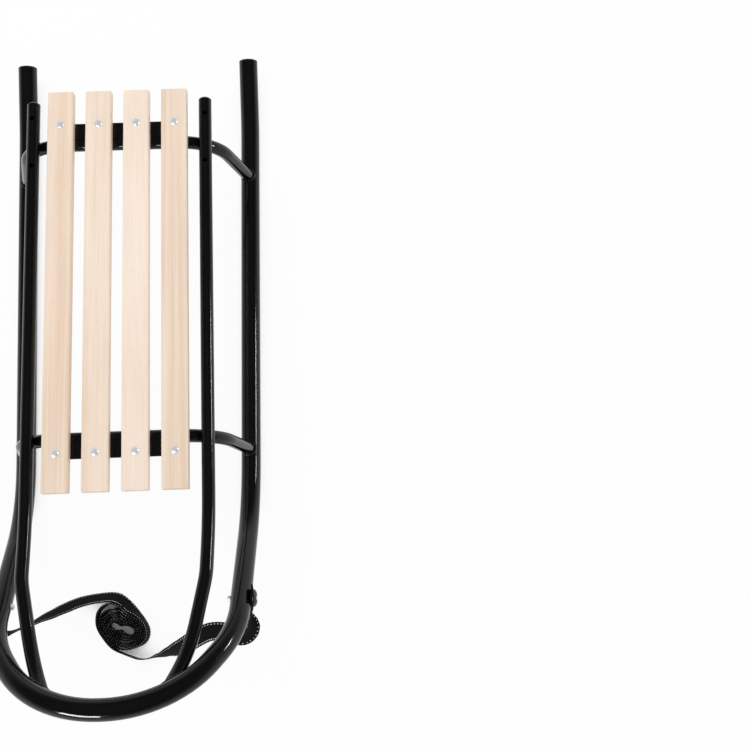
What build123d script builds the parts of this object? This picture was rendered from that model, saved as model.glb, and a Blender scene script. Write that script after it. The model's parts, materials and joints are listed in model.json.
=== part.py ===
import os
from math import atan2, cos, hypot, pi, radians, sin, sqrt, tan

from build123d import *

os.makedirs("parts", exist_ok=True)

# A child's sled: bent steel tube frame, four wooden slats and a rolled-up pull strap.
# Millimetres, +Z up, bow towards -Y, origin on the ground under the middle of the frame.

# Runner: one bent tube that makes both soles and the bow that joins them in front.
runner_diameter = 28.0
runner_wall = 1.5
sole_length = 580.0
sole_half_gauge_rear = 170.5
sole_half_gauge_front = 162.8
tail_length = 103.5
tail_lift = 15.6
tail_bend_radius = 300.0
bow_slope = 42.4
bow_slope_bend_radius = 178.0
bow_leg_length = 241.7
bow_leg_half_gauge = 157.3
bow_shoulder_straight = 15.3
bow_length = 358.8
bow_crown_half_width = 83.5
bow_crown_straight = 3.7

# Plastic plugs in the rear ends of the runner.
plug_rim = 2.5
plug_depth = 18.0
plug_edge_round = 1.0

# Arches: tubes that stand on the soles and carry the rails and the slats.
arch_diameter = 18.0
arch_wall = 1.5
arch_height = 162.5
arch_shoulder_half_width = 131.0
arch_bend_radius = 70.0
arch_setback = 80.0
arch_spacing = 419.0

# Side rails: tubes that lie on the shoulders of the arches and run forward to the bow.
rail_diameter = 18.0
rail_wall = 1.5
rail_half_gauge = 120.7
rail_rear_overhang = 59.5
weld_gap = 0.05

# Front of a rail: its straight run bends up and it lands on the crown of the bow.
rail_landing_half_width = 74.0
rail_landing_drop = 5.0
rail_bend_behind = 214.1
rail_bend_tangent = 40.5

# Its other corners. Columns: half gauge, distance behind and below the landing, bend radius.
rail_front_corners = [
    (119.0, 146.1, 52.6, 105.0),
    (99.3, 49.1, 36.9, 150.0),
]

# Holes for a backrest, drilled straight down through each rail.
backrest_hole_diameter = 6.5
backrest_hole_spacing = 70.0
backrest_hole_inset = 23.1

# Plastic caps in the rear ends of the rails.
cap_dome = 4.0
cap_depth = 14.0

# Flat steel strips welded along the arches, which the slats are bolted to.
strip_thickness = 3.0
strip_inner_edge = 4.5
strip_outer_edge = 28.0
strip_half_length = 92.0
strip_corner_radius = 2.0
seat_clearance = 0.2

# Wooden slats.
slat_count = 4
slat_width = 36.0
slat_thickness = 15.0
slat_length = 563.0
slat_pitch = 52.7
slat_shift = -1.8
slat_long_edge_round = 3.0
slat_end_edge_round = 1.2

# Dome-head bolts that hold the slats, with hexagon nuts below the strips.
bolt_offset = 21.7
bolt_shank_diameter = 5.0
bolt_hole_diameter = 5.4
bolt_head_diameter = 11.5
bolt_head_height = 3.4
nut_width = 8.0
nut_height = 4.0
bolt_end_length = 2.0

# Anchors of the pull strap: a bolt across each leg of the bow, with a washer outside.
anchor_below_bend = 16.2
anchor_bolt_diameter = 6.0
anchor_hole_diameter = 6.4
anchor_head_diameter = 12.5
anchor_head_height = 3.6
anchor_washer_diameter = 20.0
anchor_washer_thickness = 1.6
anchor_nut_width = 10.0
anchor_nut_height = 5.0
anchor_bolt_end_length = 2.0

# Pull strap: webbing whose two ends are bolted to the bow and whose middle is rolled up.
strap_width = 25.0
strap_thickness = 2.6
tab_back_length = 14.0
tab_free_length = 34.0
tab_direction = Vector(0, -0.6, -0.8)
strap_lead = 19.6
roll_center = (-21.0, -365.0)
roll_half_width = 38.0
roll_half_length = 42.0

# Routes of the strap's free runs, from the end of a straight lead below the tab to the roll.
strap_run_right_points = [
    (157.0, -384.5, 80.0),
    (120.0, -388.5, 67.0),
    (83.0, -394.0, 47.0),
    (47.0, -404.0, 24.0),
    (12.0, -413.5, 13.0),
    (-15.0, -410.0, 13.0),
    (-36.0, -396.0, 13.2),
]
strap_run_left_points = [
    (-155.0, -375.0, 81.0),
    (-125.0, -358.5, 64.0),
    (-102.0, -345.5, 42.0),
    (-78.5, -334.0, 22.5),
    (-53.0, -326.5, 13.2),
    (-28.0, -326.0, 13.0),
]

# Places that follow from the sizes above.
runner_radius = runner_diameter / 2
slope = radians(bow_slope)
tail_angle = atan2(tail_lift, tail_length)
bow_reach = bow_length * cos(slope) + runner_radius
tail_reach = tail_length + plug_rim * cos(tail_angle) + runner_radius * sin(tail_angle)
overall_length = bow_reach + sole_length + tail_reach
nose_y = bow_reach - overall_length / 2
tail_y = nose_y + sole_length
arch_rear_y = tail_y - arch_setback
arch_front_y = arch_rear_y - arch_spacing
slat_seat_z = arch_height + arch_diameter / 2 + seat_clearance
slat_top_z = slat_seat_z + slat_thickness
slat_mid_y = (arch_rear_y + arch_front_y) / 2 + slat_shift
bolt_rows = [arch_front_y - bolt_offset, arch_rear_y + bolt_offset]
sides = {"left": -1, "right": 1}


def on_slope(half_width, distance):
    """Point of the bow's tilted plane, measured up the slope from its lower corner."""
    return Vector(half_width, nose_y - distance * cos(slope), runner_radius + distance * sin(slope))


def sole_half_gauge(y):
    """Half gauge of the soles at one place along the sled."""
    share = (y - nose_y) / sole_length
    return sole_half_gauge_front + share * (sole_half_gauge_rear - sole_half_gauge_front)


def rail_contact_height(y):
    """Height of a rail's axis where it lies on the bent shoulder of an arch."""
    foot_run = sole_half_gauge(y) - arch_shoulder_half_width
    turn = atan2(arch_height - runner_radius, foot_run)
    bend_start = arch_shoulder_half_width - arch_bend_radius * tan(turn / 2)
    reach = arch_bend_radius + (arch_diameter + rail_diameter) / 2 + weld_gap
    aside = max(rail_half_gauge - bend_start, 0)
    return arch_height - arch_bend_radius + sqrt(reach**2 - aside**2)


def rail_height(y):
    """Height of the straight run of the rails, which touches both arches."""
    front = rail_contact_height(arch_front_y)
    rear = rail_contact_height(arch_rear_y)
    return front + (y - arch_front_y) / arch_spacing * (rear - front)


def bar(points, radii, diameter, bore=0.0):
    """Round bar or tube along straight runs that are joined by tangent arcs."""
    with BuildPart() as swept:
        with BuildLine() as path:
            FilletPolyline(*points, radius=radii)
        start = Plane(origin=path.line @ 0, z_dir=path.line % 0)
        with BuildSketch(start):
            Circle(diameter / 2)
            if bore > 0:
                Circle(bore / 2, mode=Mode.SUBTRACT)
        sweep()
    return swept.part


def corner_radii(points):
    """Bend radius for each corner of a cord's route: 0.45 of its shorter run."""
    radii = []
    for before, corner, after in zip(points, points[1:], points[2:]):
        run_in = Vector(*corner) - Vector(*before)
        run_out = Vector(*after) - Vector(*corner)
        half_turn = radians(run_in.get_angle(run_out)) / 2
        radii.append(0.45 * min(run_in.length, run_out.length) / tan(half_turn))
    return radii


# Bends of the bow: each takes up what the straight runs beside it leave of the tube.
leg_direction = atan2(bow_leg_length, bow_leg_half_gauge - sole_half_gauge_front)
shoulder_rise = bow_length - bow_leg_length
shoulder_run = bow_leg_half_gauge - bow_crown_half_width
shoulder_direction = atan2(shoulder_rise, -shoulder_run)
crown_tangent = bow_crown_half_width - bow_crown_straight / 2
leg_tangent = hypot(shoulder_rise, shoulder_run) - crown_tangent - bow_shoulder_straight
bow_crown_bend_radius = crown_tangent / tan((pi - shoulder_direction) / 2)
bow_leg_bend_radius = leg_tangent / tan((shoulder_direction - leg_direction) / 2)
print(f"bow bend radii: leg {bow_leg_bend_radius:.1f}, crown {bow_crown_bend_radius:.1f}")

# Runner, from the left rear end round the bow to the right rear end.
right_half = [
    Vector(sole_half_gauge_rear, tail_y + tail_length, runner_radius + tail_lift),
    Vector(sole_half_gauge_rear, tail_y, runner_radius),
    Vector(sole_half_gauge_front, nose_y, runner_radius),
    on_slope(bow_leg_half_gauge, bow_leg_length),
    on_slope(bow_crown_half_width, bow_length),
]
right_radii = [
    tail_bend_radius,
    bow_slope_bend_radius,
    bow_leg_bend_radius,
    bow_crown_bend_radius,
]
runner_points = [Vector(-p.X, p.Y, p.Z) for p in right_half] + right_half[::-1]
runner_radii = right_radii + right_radii[::-1]
runner_outside = bar(runner_points, runner_radii, runner_diameter)

# Frames of the strap anchors: origin on the tube's axis, z outwards, x down the strap.
anchor_distance = bow_leg_length - leg_tangent - anchor_below_bend
anchor_share = anchor_distance / bow_leg_length
anchor_half_gauge = sole_half_gauge_front + anchor_share * (
    bow_leg_half_gauge - sole_half_gauge_front
)
anchor_planes = {}
for side, sign in sides.items():
    leg_foot = on_slope(sign * sole_half_gauge_front, 0)
    leg_top = on_slope(sign * bow_leg_half_gauge, bow_leg_length)
    leg = (leg_top - leg_foot).normalized()
    outward = Vector(sign, 0, 0) - leg * Vector(sign, 0, 0).dot(leg)
    down = tab_direction - outward.normalized() * tab_direction.dot(outward.normalized())
    anchor_planes[side] = Plane(
        origin=on_slope(sign * anchor_half_gauge, anchor_distance),
        x_dir=down,
        z_dir=outward,
    )

with BuildPart() as runner:
    add(bar(runner_points, runner_radii, runner_diameter, runner_diameter - 2 * runner_wall))
    for plane in anchor_planes.values():
        with BuildSketch(plane.offset(-runner_diameter)):
            Circle(anchor_hole_diameter / 2)
        extrude(amount=2 * runner_diameter, mode=Mode.SUBTRACT)
runner.part.label = "runner"
export_step(runner.part, "parts/runner.step")

for side, sign in sides.items():
    tail_end = Vector(sign * sole_half_gauge_rear, tail_y + tail_length, runner_radius + tail_lift)
    backwards = Vector(0, tail_length, tail_lift)
    end_plane = Plane(origin=tail_end, x_dir=(1, 0, 0), z_dir=backwards)
    with BuildPart() as plug:
        with BuildSketch(end_plane):
            Circle(runner_radius)
        extrude(amount=plug_rim)
        outer_edge = plug.edges().filter_by(GeomType.CIRCLE).sort_by(Axis.Y)[-1]
        fillet(outer_edge, plug_edge_round)
        with BuildSketch(end_plane):
            Circle(runner_radius - runner_wall)
        extrude(amount=-plug_depth)
    plug.part.label = f"runner_plug_{side}"
    export_step(plug.part, f"parts/runner_plug_{side}.step")

# Arches, with their feet cut to the round of the soles.
arch_outsides = {}
for place, arch_y in (("front", arch_front_y), ("rear", arch_rear_y)):
    foot = sole_half_gauge(arch_y)
    arch_points = [
        (-foot, arch_y, runner_radius),
        (-arch_shoulder_half_width, arch_y, arch_height),
        (arch_shoulder_half_width, arch_y, arch_height),
        (foot, arch_y, runner_radius),
    ]
    arch_radii = [arch_bend_radius, arch_bend_radius]
    arch_outsides[place] = bar(arch_points, arch_radii, arch_diameter)
    with BuildPart() as arch:
        add(bar(arch_points, arch_radii, arch_diameter, arch_diameter - 2 * arch_wall))
        add(runner_outside, mode=Mode.SUBTRACT)
    arch.part.label = f"arch_{place}"
    export_step(arch.part, f"parts/arch_{place}.step")

# Rails, with their front ends cut to the round of the bow.
rail_rear_y = arch_rear_y + rail_rear_overhang
crown_center_distance = bow_length - bow_crown_bend_radius
landing_distance = crown_center_distance + sqrt(
    bow_crown_bend_radius**2 - (rail_landing_half_width - bow_crown_straight / 2) ** 2
)
backrest_hole_ys = [
    rail_rear_y - backrest_hole_inset,
    rail_rear_y - backrest_hole_inset - backrest_hole_spacing,
]
for side, sign in sides.items():
    landing = on_slope(sign * rail_landing_half_width, landing_distance)
    landing_z = landing.Z - rail_landing_drop
    rail_points = [
        Vector(sign * rail_half_gauge, straight_y, rail_height(straight_y))
        for straight_y in (rail_rear_y, landing.Y + rail_bend_behind)
    ]
    for half_gauge, behind, below, bend_radius in rail_front_corners:
        rail_points.append(Vector(sign * half_gauge, landing.Y + behind, landing_z - below))
    rail_points.append(Vector(landing.X, landing.Y, landing_z))
    run_in, run_out = rail_points[1] - rail_points[0], rail_points[2] - rail_points[1]
    first_radius = rail_bend_tangent / tan(radians(run_in.get_angle(run_out)) / 2)
    rail_radii = [first_radius] + [row[3] for row in rail_front_corners]
    print(f"rail {side}: first bend radius {first_radius:.1f}")
    with BuildPart() as rail:
        add(bar(rail_points, rail_radii, rail_diameter, rail_diameter - 2 * rail_wall))
        add(runner_outside, mode=Mode.SUBTRACT)
        for hole_y in backrest_hole_ys:
            with BuildSketch(Plane.XY.offset(rail_height(hole_y) - rail_diameter)):
                with Locations((sign * rail_half_gauge, hole_y)):
                    Circle(backrest_hole_diameter / 2)
            extrude(amount=2 * rail_diameter, mode=Mode.SUBTRACT)
    rail.part.label = f"rail_{side}"
    export_step(rail.part, f"parts/rail_{side}.step")

    rear_end = rail_points[0]
    along = rear_end - rail_points[1]
    across = Plane(origin=rear_end, z_dir=along).x_dir
    cap_plane = Plane(origin=rear_end, x_dir=across, z_dir=across.cross(along))
    cap_radius = rail_diameter / 2
    ball_radius = (cap_radius**2 + cap_dome**2) / (2 * cap_dome)
    with BuildPart() as cap:
        with BuildSketch(cap_plane):
            with BuildLine():
                rim = Polyline(
                    (0, -cap_depth),
                    (cap_radius - rail_wall, -cap_depth),
                    (cap_radius - rail_wall, 0),
                    (cap_radius, 0),
                )
                RadiusArc(rim @ 1, (0, cap_dome), -ball_radius)
                Line((0, cap_dome), (0, -cap_depth))
            make_face()
        revolve(axis=Axis(cap_plane.origin, cap_plane.y_dir))
    cap.part.label = f"rail_cap_{side}"
    export_step(cap.part, f"parts/rail_cap_{side}.step")

# Strips under the slats, on the outer side of each arch, cut to the round of the tube.
slat_xs = [(i - (slat_count - 1) / 2) * slat_pitch for i in range(slat_count)]
for place, arch_y, outwards in (("front", arch_front_y, -1), ("rear", arch_rear_y, 1)):
    strip_mid = (strip_inner_edge + strip_outer_edge) / 2
    with BuildPart() as strip:
        with BuildSketch(Plane.XY.offset(slat_seat_z - strip_thickness)):
            with Locations((0, arch_y + outwards * strip_mid)):
                RectangleRounded(
                    2 * strip_half_length, strip_outer_edge - strip_inner_edge, strip_corner_radius
                )
        extrude(amount=strip_thickness)
        add(arch_outsides[place], mode=Mode.SUBTRACT)
        with BuildSketch(Plane.XY.offset(slat_seat_z - strip_thickness)):
            with Locations(*[(x, arch_y + outwards * bolt_offset) for x in slat_xs]):
                Circle(bolt_hole_diameter / 2)
        extrude(amount=strip_thickness, mode=Mode.SUBTRACT)
    strip.part.label = f"slat_strip_{place}"
    export_step(strip.part, f"parts/slat_strip_{place}.step")

for number, slat_x in enumerate(slat_xs, start=1):
    with BuildPart() as slat:
        with BuildSketch(Plane.XY.offset(slat_seat_z)):
            with Locations((slat_x, slat_mid_y)):
                Rectangle(slat_width, slat_length)
        extrude(amount=slat_thickness)
        fillet(slat.edges().filter_by(Axis.Y), slat_long_edge_round)
        ends = slat.edges().group_by(Axis.Y)
        fillet(ends[0] + ends[-1], slat_end_edge_round)
        with BuildSketch(Plane.XY.offset(slat_seat_z)):
            with Locations(*[(slat_x, row_y) for row_y in bolt_rows]):
                Circle(bolt_hole_diameter / 2)
        extrude(amount=slat_thickness, mode=Mode.SUBTRACT)
    slat.part.label = f"slat_{number}"
    export_step(slat.part, f"parts/slat_{number}.step")

# Slat bolts and nuts: a domed head on the wood, a shank through wood and strip.
bolt_places = [(x, y) for y in bolt_rows for x in slat_xs]
head_radius = bolt_head_diameter / 2
head_ball_radius = (head_radius**2 + bolt_head_height**2) / (2 * bolt_head_height)
shank_length = slat_thickness + strip_thickness + nut_height + bolt_end_length
nut_top_z = slat_seat_z - strip_thickness
with BuildPart() as slat_bolts:
    for x, y in bolt_places:
        with BuildSketch(Plane(origin=(x, y, slat_top_z), x_dir=(1, 0, 0), z_dir=(0, -1, 0))):
            with BuildLine():
                shank = Polyline(
                    (0, -shank_length),
                    (bolt_shank_diameter / 2, -shank_length),
                    (bolt_shank_diameter / 2, 0),
                    (head_radius, 0),
                )
                RadiusArc(shank @ 1, (0, bolt_head_height), -head_ball_radius)
                Line((0, bolt_head_height), (0, -shank_length))
            make_face()
        revolve(axis=Axis((x, y, slat_top_z), (0, 0, 1)))
slat_bolts.part.label = "slat_bolts"
export_step(slat_bolts.part, "parts/slat_bolts.step")

with BuildPart() as slat_nuts:
    with BuildSketch(Plane.XY.offset(nut_top_z)):
        with Locations(*bolt_places):
            RegularPolygon(nut_width / 2, 6, major_radius=False)
            Circle(bolt_shank_diameter / 2, mode=Mode.SUBTRACT)
    extrude(amount=-nut_height)
slat_nuts.part.label = "slat_nuts"
export_step(slat_nuts.part, "parts/slat_nuts.step")

# Strap anchors. Outwards from the tube: webbing tab, washer and the bolt's domed head.
tab_face = runner_radius
washer_face = tab_face + strap_thickness
head_face = washer_face + anchor_washer_thickness
bolt_tip = -(runner_radius + anchor_nut_height + anchor_bolt_end_length)
anchor_head_radius = anchor_head_diameter / 2
anchor_ball_radius = (anchor_head_radius**2 + anchor_head_height**2) / (2 * anchor_head_height)
strap_tabs = {}
for side, plane in anchor_planes.items():
    with BuildPart() as tab:
        with BuildSketch(plane.offset(tab_face)):
            with Locations((tab_free_length / 2, 0)):
                Rectangle(tab_free_length, strap_width)
            with Locations((-tab_back_length / 2, 0)):
                Rectangle(tab_back_length, strap_width)
            Circle(anchor_hole_diameter / 2, mode=Mode.SUBTRACT)
        extrude(amount=strap_thickness)
    strap_tabs[side] = tab.part
    tab.part.label = f"strap_tab_{side}"
    export_step(tab.part, f"parts/strap_tab_{side}.step")

    with BuildPart() as washer:
        with BuildSketch(plane.offset(washer_face)):
            Circle(anchor_washer_diameter / 2)
            Circle(anchor_hole_diameter / 2, mode=Mode.SUBTRACT)
        extrude(amount=anchor_washer_thickness)
    washer.part.label = f"anchor_washer_{side}"
    export_step(washer.part, f"parts/anchor_washer_{side}.step")

    with BuildPart() as anchor_bolt:
        with BuildSketch(Plane(origin=plane.origin, x_dir=plane.x_dir, z_dir=-plane.y_dir)):
            with BuildLine():
                stem = Polyline(
                    (0, bolt_tip),
                    (anchor_bolt_diameter / 2, bolt_tip),
                    (anchor_bolt_diameter / 2, head_face),
                    (anchor_head_radius, head_face),
                )
                RadiusArc(stem @ 1, (0, head_face + anchor_head_height), -anchor_ball_radius)
                Line((0, head_face + anchor_head_height), (0, bolt_tip))
            make_face()
        revolve(axis=Axis(plane.origin, plane.z_dir))
    anchor_bolt.part.label = f"anchor_bolt_{side}"
    export_step(anchor_bolt.part, f"parts/anchor_bolt_{side}.step")

    with BuildPart() as anchor_nut:
        with BuildSketch(plane.offset(-runner_radius)):
            RegularPolygon(anchor_nut_width / 2, 6, major_radius=False)
            Circle(anchor_bolt_diameter / 2, mode=Mode.SUBTRACT)
        extrude(amount=-anchor_nut_height)
    anchor_nut.part.label = f"anchor_nut_{side}"
    export_step(anchor_nut.part, f"parts/anchor_nut_{side}.step")

# Pull strap: the roll stands on its edge, and each free run ends against it.
with BuildPart() as strap_roll:
    with BuildSketch():
        with Locations(roll_center):
            Ellipse(roll_half_width, roll_half_length)
    extrude(amount=strap_width)
strap_roll.part.label = "strap_roll"
export_step(strap_roll.part, "parts/strap_roll.step")

for side, further_points in (("left", strap_run_left_points), ("right", strap_run_right_points)):
    plane = anchor_planes[side]
    lead_start = plane.origin + plane.x_dir * tab_free_length
    lead_start += plane.z_dir * (tab_face + strap_thickness / 2)
    points = [lead_start, lead_start + tab_direction * strap_lead, *further_points]
    radii = corner_radii(points)
    print(f"strap lead {side}:", [tuple(round(x, 2) for x in point) for point in points[:2]])
    print(f"strap run {side}: bend radii", [round(radius, 1) for radius in radii])
    with BuildPart() as strap_run:
        add(bar(points, radii, strap_width))
        add(strap_roll.part, mode=Mode.SUBTRACT)
        add(strap_tabs[side], mode=Mode.SUBTRACT)
    strap_run.part.label = f"strap_run_{side}"
    export_step(strap_run.part, f"parts/strap_run_{side}.step")

print(f"overall length {overall_length:.1f}, slat top {slat_top_z:.1f}")
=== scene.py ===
# %% [markdown]
# # A child's sled with a rolled pull strap
# The sled is a frame of bent black tube, four pale wooden slats on two arches, and a webbing strap
# that is bolted to both legs of the bow and rolled up on the ground. The exact tubes and slats
# come from the CAD model and aren't changed here. What this lesson adds is what CAD draws poorly:
# the woven strap and its stitches, the dome-head bolts and nuts, the weld beads, and all the
# finishes.

# %% Load the sled's frame
import json
from math import ceil, cos, pi, radians, sin, sqrt

import bmesh
import bpy
from mathutils import Matrix, Vector


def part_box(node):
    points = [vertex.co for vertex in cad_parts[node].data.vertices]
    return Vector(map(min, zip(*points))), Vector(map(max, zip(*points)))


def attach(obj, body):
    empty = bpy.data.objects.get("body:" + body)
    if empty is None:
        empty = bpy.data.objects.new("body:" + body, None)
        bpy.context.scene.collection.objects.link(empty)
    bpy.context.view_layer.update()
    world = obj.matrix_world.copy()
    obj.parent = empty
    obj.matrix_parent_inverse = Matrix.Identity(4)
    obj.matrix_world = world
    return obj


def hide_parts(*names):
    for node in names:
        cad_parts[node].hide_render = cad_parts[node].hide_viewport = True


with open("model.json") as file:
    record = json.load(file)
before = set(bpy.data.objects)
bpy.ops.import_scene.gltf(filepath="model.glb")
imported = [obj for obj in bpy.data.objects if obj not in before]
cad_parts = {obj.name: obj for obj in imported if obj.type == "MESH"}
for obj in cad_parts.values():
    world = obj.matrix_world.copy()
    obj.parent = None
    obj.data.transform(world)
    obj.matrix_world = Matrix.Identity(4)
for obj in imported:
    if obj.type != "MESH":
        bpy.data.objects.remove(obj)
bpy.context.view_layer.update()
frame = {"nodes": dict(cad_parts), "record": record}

print("CAD nodes:", len(frame["nodes"]))

# %% [markdown]
# Everything in the scene is in metres, and a workshop measures such a sled in millimetres, so a
# helper turns one into the other. The loaded nodes stay selected, and a Blender operator acts on
# all that is selected, so each new piece starts by letting go of everything. A piece that no
# operator makes is a block of data, and an object carries it into the scene.

# %% Millimetres, letting go of the selection, and new objects
MM = 0.001


def mm(*numbers):
    """A place or a direction given in millimetres, as a vector in metres."""
    return Vector(numbers) * MM


def let_go():
    """Deselects every object, so that the next operator touches only the new piece."""
    bpy.ops.object.select_all(action="DESELECT")


def add_object(name, data):
    """An object that carries a mesh, lamp or camera into the scene."""
    carrier = bpy.data.objects.new(name, data)
    bpy.context.scene.collection.objects.link(carrier)
    return carrier


let_go()
print("selected objects left:", len(bpy.context.selected_objects))

# %% [markdown]
# The photograph looks almost straight down at the sled from about a metre and three quarters, a
# little to the right of it and beyond the bow. A camera could be aimed with a tracking constraint,
# but this place and lens were fitted to the ends and crossings of the tubes, so they are set as
# plain numbers. The camera tilts by twelve degrees, so the picture shows one side of each tube a
# little.

# %% The camera above the sled
studio_camera = add_object("studio_camera", bpy.data.cameras.new("studio_camera"))
studio_camera.location = (0.3234, -0.3806, 1.7559)
studio_camera.rotation_euler = (0.205, -0.007, -0.037)
studio_camera.data.sensor_width = 36.0
studio_camera.data.lens = 57.6
bpy.context.scene.camera = studio_camera
print("camera height in metres:", studio_camera.location.z)

# %% [markdown]
# The strap leaves each anchor downwards, turns in under the bow and comes to the roll on its edge.
# Each free run is one smooth line. Drawn freehand it would have small kinks. The CAD model has a
# stiff bar along nearly the same route, so its points were the start, and each was then moved
# until the strap lay as in the photograph. They control a NURBS curve, which rounds every corner
# by itself, as limp webbing does, and is read back as a row of points. The numbers are
# millimetres.

# %% Routes of the strap's two free runs
run_routes = {
    "right": [
        (169.12, -351.2, 123.7), (168.2, -353.6, 120.9), (167.8, -361, 113),
        (166.3, -367.5, 107), (167.6, -374, 100.5), (167.2, -380.6, 92.5), (162, -387.2, 85.5),
        (153.5, -391, 80.5), (142, -387.3, 78), (128, -382, 76), (109, -381.5, 73.5),
        (89, -390, 65), (67, -402, 46), (46, -409.5, 26), (25, -414.2, 14.4), (5, -418, 13.1),
        (-11, -412.3, 13.1), (-26.3, -405.66, 13.1),
    ],
    "left": [
        (-173.98, -351.2, 123.7), (-173.98, -360, 112), (-173, -368, 101.5),
        (-168.5, -373.5, 91), (-157, -372, 80.5), (-139, -363.8, 66), (-121, -354.3, 51),
        (-103, -344.5, 36), (-86, -336, 23.5), (-69, -331.2, 14), (-50, -329, 11),
        (-37, -328.6, 10.8), (-25.5, -332.3, 10.8), (-16.55, -341.03, 10.8),
    ],
}


def mesh_of(curve):
    """The mesh that a curve draws; the curve itself is removed."""
    holder = bpy.data.objects.new(curve.name, curve)
    mesh = bpy.data.meshes.new_from_object(holder)
    bpy.data.objects.remove(holder)
    bpy.data.curves.remove(curve)
    return mesh


def smooth_line(name, route):
    """The points down the middle of a limp strap that follows the route."""
    guide = bpy.data.curves.new(name, "CURVE")
    guide.dimensions = "3D"
    guide.resolution_u = 16
    spline = guide.splines.new("NURBS")
    spline.points.add(len(route) - 1)
    for point, place in zip(spline.points, route):
        point.co = (*mm(*place), 1.0)
    spline.order_u = 3
    spline.use_endpoint_u = True
    drawn = mesh_of(guide)
    line = [vertex.co.copy() for vertex in drawn.vertices]
    bpy.data.meshes.remove(drawn)
    return line


def line_length(line):
    """Length along a row of points."""
    return sum((b - a).length for a, b in zip(line, line[1:]))


def whole_mm(length):
    """A length in metres as whole millimetres, for printing."""
    return round(length / MM)


run_lines = {side: smooth_line(f"{side}_run_guide", route) for side, route in run_routes.items()}
print("free runs in mm:", {side: whole_mm(line_length(line)) for side, line in run_lines.items()})

# %% [markdown]
# Webbing is 25 mm wide and 1.6 mm thick, with soft round selvedges. Because it is flat, a middle
# line isn't enough: each place along it also needs the direction of its width, which shows how the
# strap twists. A curve with a flat bevel could do it, but its twist is hard to steer, so the
# ribbon is skinned in mesh code over "stations": a middle point and the direction towards one
# edge. Its UV map counts metres along and across the strap, so the weave follows every turn.

# %% The ribbon of webbing
strap_half_width = 12.5 * MM
webbing_thickness = 1.6 * MM
selvedge = [(12.5, 0.0), (12.3, 0.5), (11.7, 0.86), (10.4, 1.0), (5.0, 1.0), (0.0, 1.0)]


def webbing_section(thickness):
    """The strap's rounded flat cross-section: (across, out) in metres, once round."""
    quarter = [(a * MM, b * thickness / 2) for a, b in selvedge]
    upper = quarter + [(-a, b) for a, b in reversed(quarter[:-1])]
    return upper + [(a, -b) for a, b in reversed(upper[1:-1])]


def frames_along(stations):
    """Adds the true width direction, the face's normal and the distance so far to each station."""
    frames, so_far = [], 0.0
    for i, (middle, towards) in enumerate(stations):
        before = stations[max(i - 1, 0)][0]
        after = stations[min(i + 1, len(stations) - 1)][0]
        along = (after - before).normalized()
        width = (towards - along * towards.dot(along)).normalized()
        if i:
            so_far += (middle - stations[i - 1][0]).length
        frames.append((middle, along, width, along.cross(width), so_far))
    return frames


def ribbon_parts(frames, thickness):
    """Vertices, faces and UVs of a ribbon that is closed at both ends."""
    section = webbing_section(thickness)
    n = len(section)
    verts = [m + w * a + out * b for m, _, w, out, _ in frames for a, b in section]
    faces, uvs = [], []
    for k in range(len(frames) - 1):
        for j in range(n):
            i = (j + 1) % n
            faces.append((k * n + j, k * n + i, (k + 1) * n + i, (k + 1) * n + j))
            here, there = frames[k][4], frames[k + 1][4]
            uvs.append([(here, section[j][0]), (here, section[i][0]),
                        (there, section[i][0]), (there, section[j][0])])
    last = (len(frames) - 1) * n
    faces.append(tuple(reversed(range(n))))
    uvs.append([(0.0, section[j][0]) for j in reversed(range(n))])
    faces.append(tuple(last + j for j in range(n)))
    uvs.append([(frames[-1][4], section[j][0]) for j in range(n)])
    return verts, faces, uvs


print("points round the webbing's section:", len(webbing_section(webbing_thickness)))

# %% [markdown]
# A white thread runs along both edges of the strap, on both faces, in short running stitches. They
# could be painted in the material, but real ones stand a little proud and catch the light, so each
# is a tiny eight-cornered bead of thread. There are about sixteen hundred of them, which is why
# the bead has only nine faces. The stitches become part of the ribbon's mesh, with their own
# material.

# %% Edge stitches
first_stitch = 1.6 * MM
stitch_pitch = 3.9 * MM
stitch_half_length = 1.1 * MM
stitch_half_breadth = 0.65 * MM
stitch_height = 0.22 * MM
stitch_sunk = 0.05 * MM
stitch_from_edge = 2.6 * MM
bead_corners = [
    (-1.0, 0.0, 0.1), (-0.55, -1.0, 0.0), (-0.55, 0.0, 1.0), (-0.55, 1.0, 0.0),
    (0.55, -1.0, 0.0), (0.55, 0.0, 1.0), (0.55, 1.0, 0.0), (1.0, 0.0, 0.1),
]
bead_faces = [
    (0, 1, 2), (0, 2, 3), (1, 4, 5, 2), (2, 5, 6, 3), (4, 7, 5), (5, 7, 6),
    (0, 3, 1), (1, 3, 6, 4), (4, 6, 7),
]


def frame_at(frames, distance):
    """The strap's frame at any distance along it."""
    for a, b in zip(frames, frames[1:]):
        if distance <= b[4]:
            share = (distance - a[4]) / max(b[4] - a[4], 1e-9)
            return [a[i].lerp(b[i], share) for i in range(4)]
    return list(frames[-1][:4])


def stitch_parts(frames, thickness):
    """Vertices, faces and UVs of the edge stitches on both faces of a ribbon."""
    verts, faces, uvs = [], [], []
    for number in range(int((frames[-1][4] - first_stitch) / stitch_pitch)):
        distance = first_stitch + number * stitch_pitch
        middle, along, width, out = frame_at(frames, distance)
        for edge, face_side in ((-1, -1), (-1, 1), (1, -1), (1, 1)):
            seat = middle + width * edge * (strap_half_width - stitch_from_edge)
            seat = seat + out * face_side * (thickness / 2 - stitch_sunk)
            start = len(verts)
            for a, b, c in bead_corners:
                verts.append(seat + along * a * stitch_half_length
                             + width * b * face_side * stitch_half_breadth
                             + out * face_side * c * stitch_height)
            for bead_face in bead_faces:
                faces.append(tuple(start + i for i in bead_face))
                uvs.append([(distance + bead_corners[i][0] * stitch_half_length,
                             bead_corners[i][1] * MM) for i in bead_face])
    return verts, faces, uvs


print("corners and faces of one stitch:", len(bead_corners), len(bead_faces))

# %% Sew a piece of the strap
crease_degrees = 75


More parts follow.
